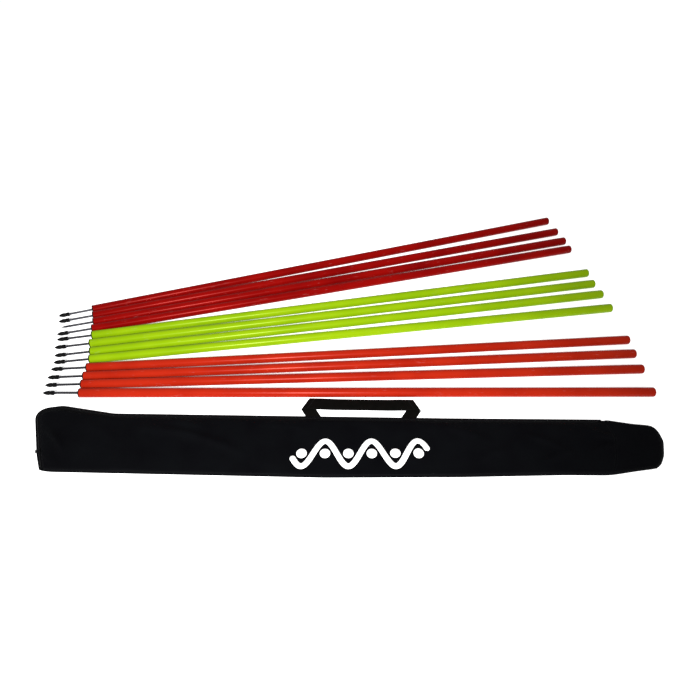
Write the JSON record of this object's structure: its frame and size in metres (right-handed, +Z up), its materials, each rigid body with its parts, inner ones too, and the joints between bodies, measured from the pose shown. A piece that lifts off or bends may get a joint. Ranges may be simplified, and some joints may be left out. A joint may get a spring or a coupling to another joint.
{
  "type": "weave poles",
  "caption": "Set of push-in dog agility weave poles with steel ground spikes and slip-on point covers, laid out beside a zipped carry bag with a webbing handle.",
  "frame": {"origin": "middle of the whole laid-out set on the ground", "axes": "+X along the bag towards the poles' capped ends, +Y from the bag towards the poles, +Z up"},
  "size_m": [1.634, 0.9429, 0.025],
  "materials": {
    "tube_dark_red": "satin extruded plastic",
    "tube_yellow_green": "satin fluorescent plastic",
    "tube_orange_red": "satin fluorescent plastic",
    "plug_black": "moulded nylon",
    "spike_steel": "bright zinc plate",
    "cover_black": "moulded soft plastic",
    "bag_cloth": "woven polyester",
    "webbing": "woven webbing",
    "zip_cloth": "woven zip tape",
    "zip_nylon": "nylon coil",
    "zip_metal": "black enamel"
  },
  "bodies": {
    "bag": {"bag_back_panel": "bag_cloth", "bag_front_panel": "bag_cloth", "bag_end_panel": "bag_cloth", "handle_tail_left": "webbing", "handle_tail_right": "webbing", "zip_tape": "zip_cloth", "zip_coil": "zip_nylon"},
    "handle": {"handle_webbing": "webbing"},
    "zip_slider": {"zip_slider": "zip_metal"},
    "zip_pull": {"zip_pull": "zip_metal"},
    "pole_01": {"pole_01_capped_tube": "tube_dark_red", "pole_01_foot_plug": "plug_black", "pole_01_spike": "spike_steel"},
    "pole_01_cover": {"pole_01_spike_cover": "cover_black"},
    "pole_02": {"pole_02_capped_tube": "tube_dark_red", "pole_02_foot_plug": "plug_black", "pole_02_spike": "spike_steel"},
    "pole_02_cover": {"pole_02_spike_cover": "cover_black"},
    "pole_03": {"pole_03_capped_tube": "tube_dark_red", "pole_03_foot_plug": "plug_black", "pole_03_spike": "spike_steel"},
    "pole_04": {"pole_04_capped_tube": "tube_dark_red", "pole_04_foot_plug": "plug_black", "pole_04_spike": "spike_steel"},
    "pole_04_cover": {"pole_04_spike_cover": "cover_black"},
    "pole_05": {"pole_05_capped_tube": "tube_yellow_green", "pole_05_foot_plug": "plug_black", "pole_05_spike": "spike_steel"},
    "pole_05_cover": {"pole_05_spike_cover": "cover_black"},
    "pole_06": {"pole_06_capped_tube": "tube_yellow_green", "pole_06_foot_plug": "plug_black", "pole_06_spike": "spike_steel"},
    "pole_06_cover": {"pole_06_spike_cover": "cover_black"},
    "pole_07": {"pole_07_capped_tube": "tube_yellow_green", "pole_07_foot_plug": "plug_black", "pole_07_spike": "spike_steel"},
    "pole_07_cover": {"pole_07_spike_cover": "cover_black"},
    "pole_08": {"pole_08_capped_tube": "tube_yellow_green", "pole_08_foot_plug": "plug_black", "pole_08_spike": "spike_steel"},
    "pole_08_cover": {"pole_08_spike_cover": "cover_black"},
    "pole_09": {"pole_09_capped_tube": "tube_orange_red", "pole_09_foot_plug": "plug_black", "pole_09_spike": "spike_steel"},
    "pole_09_cover": {"pole_09_spike_cover": "cover_black"},
    "pole_10": {"pole_10_capped_tube": "tube_orange_red", "pole_10_foot_plug": "plug_black", "pole_10_spike": "spike_steel"},
    "pole_10_cover": {"pole_10_spike_cover": "cover_black"},
    "pole_11": {"pole_11_capped_tube": "tube_orange_red", "pole_11_foot_plug": "plug_black", "pole_11_spike": "spike_steel"},
    "pole_11_cover": {"pole_11_spike_cover": "cover_black"},
    "pole_12": {"pole_12_capped_tube": "tube_orange_red", "pole_12_foot_plug": "plug_black", "pole_12_spike": "spike_steel"},
    "pole_12_cover": {"pole_12_spike_cover": "cover_black"}
  },
  "joints": [
    {"name": "handle_swing", "type": "hinge", "parent": "bag", "child": "handle", "pos_m": [0.05672, -0.30856, 0.0032], "axis": [0.9999, -0.0169, 0], "range_deg": [0, 150]},
    {"name": "zip_slide", "type": "slide", "parent": "bag", "child": "zip_slider", "axis": [-0.3764, 0.9265, 0], "range_m": [0, 0.08]},
    {"name": "pull_swing", "type": "hinge", "parent": "zip_slider", "child": "zip_pull", "pos_m": [-0.72035, -0.40458, 0.0091], "axis": [-0.3764, 0.9265, 0], "range_deg": [0, 170]},
    {"name": "pole_01_lift", "type": "slide", "parent": "bag", "child": "pole_01", "axis": [0, 0, 1], "range_m": [0, 0.2]},
    {"name": "pole_01_cover_pull_off", "type": "slide", "parent": "pole_01", "child": "pole_01_cover", "axis": [-0.9613, -0.2756, 0], "range_m": [0, 0.04]},
    {"name": "pole_02_lift", "type": "slide", "parent": "bag", "child": "pole_02", "axis": [0, 0, 1], "range_m": [0, 0.2]},
    {"name": "pole_02_cover_pull_off", "type": "slide", "parent": "pole_02", "child": "pole_02_cover", "axis": [-0.9673, -0.2538, 0], "range_m": [0, 0.04]},
    {"name": "pole_03_lift", "type": "slide", "parent": "bag", "child": "pole_03", "axis": [0, 0, 1], "range_m": [0, 0.2]},
    {"name": "pole_04_lift", "type": "slide", "parent": "bag", "child": "pole_04", "axis": [0, 0, 1], "range_m": [0, 0.2]},
    {"name": "pole_04_cover_pull_off", "type": "slide", "parent": "pole_04", "child": "pole_04_cover", "axis": [-0.9736, -0.2284, 0], "range_m": [0, 0.04]},
    {"name": "pole_05_lift", "type": "slide", "parent": "bag", "child": "pole_05", "axis": [0, 0, 1], "range_m": [0, 0.2]},
    {"name": "pole_05_cover_pull_off", "type": "slide", "parent": "pole_05", "child": "pole_05_cover", "axis": [-0.9854, -0.1702, 0], "range_m": [0, 0.04]},
    {"name": "pole_06_lift", "type": "slide", "parent": "bag", "child": "pole_06", "axis": [0, 0, 1], "range_m": [0, 0.2]},
    {"name": "pole_06_cover_pull_off", "type": "slide", "parent": "pole_06", "child": "pole_06_cover", "axis": [-0.9874, -0.1582, 0], "range_m": [0, 0.04]},
    {"name": "pole_07_lift", "type": "slide", "parent": "bag", "child": "pole_07", "axis": [0, 0, 1], "range_m": [0, 0.2]},
    {"name": "pole_07_cover_pull_off", "type": "slide", "parent": "pole_07", "child": "pole_07_cover", "axis": [-0.989, -0.1478, 0], "range_m": [0, 0.04]},
    {"name": "pole_08_lift", "type": "slide", "parent": "bag", "child": "pole_08", "axis": [0, 0, 1], "range_m": [0, 0.2]},
    {"name": "pole_08_cover_pull_off", "type": "slide", "parent": "pole_08", "child": "pole_08_cover", "axis": [-0.9919, -0.1271, 0], "range_m": [0, 0.04]},
    {"name": "pole_09_lift", "type": "slide", "parent": "bag", "child": "pole_09", "axis": [0, 0, 1], "range_m": [0, 0.2]},
    {"name": "pole_09_cover_pull_off", "type": "slide", "parent": "pole_09", "child": "pole_09_cover", "axis": [-0.9979, -0.0645, 0], "range_m": [0, 0.04]},
    {"name": "pole_10_lift", "type": "slide", "parent": "bag", "child": "pole_10", "axis": [0, 0, 1], "range_m": [0, 0.2]},
    {"name": "pole_10_cover_pull_off", "type": "slide", "parent": "pole_10", "child": "pole_10_cover", "axis": [-0.9987, -0.0506, 0], "range_m": [0, 0.04]},
    {"name": "pole_11_lift", "type": "slide", "parent": "bag", "child": "pole_11", "axis": [0, 0, 1], "range_m": [0, 0.2]},
    {"name": "pole_11_cover_pull_off", "type": "slide", "parent": "pole_11", "child": "pole_11_cover", "axis": [-0.9995, -0.0332, 0], "range_m": [0, 0.04]},
    {"name": "pole_12_lift", "type": "slide", "parent": "bag", "child": "pole_12", "axis": [0, 0, 1], "range_m": [0, 0.2]},
    {"name": "pole_12_cover_pull_off", "type": "slide", "parent": "pole_12", "child": "pole_12_cover", "axis": [-1, -0.0017, 0], "range_m": [0, 0.04]}
  ]
}
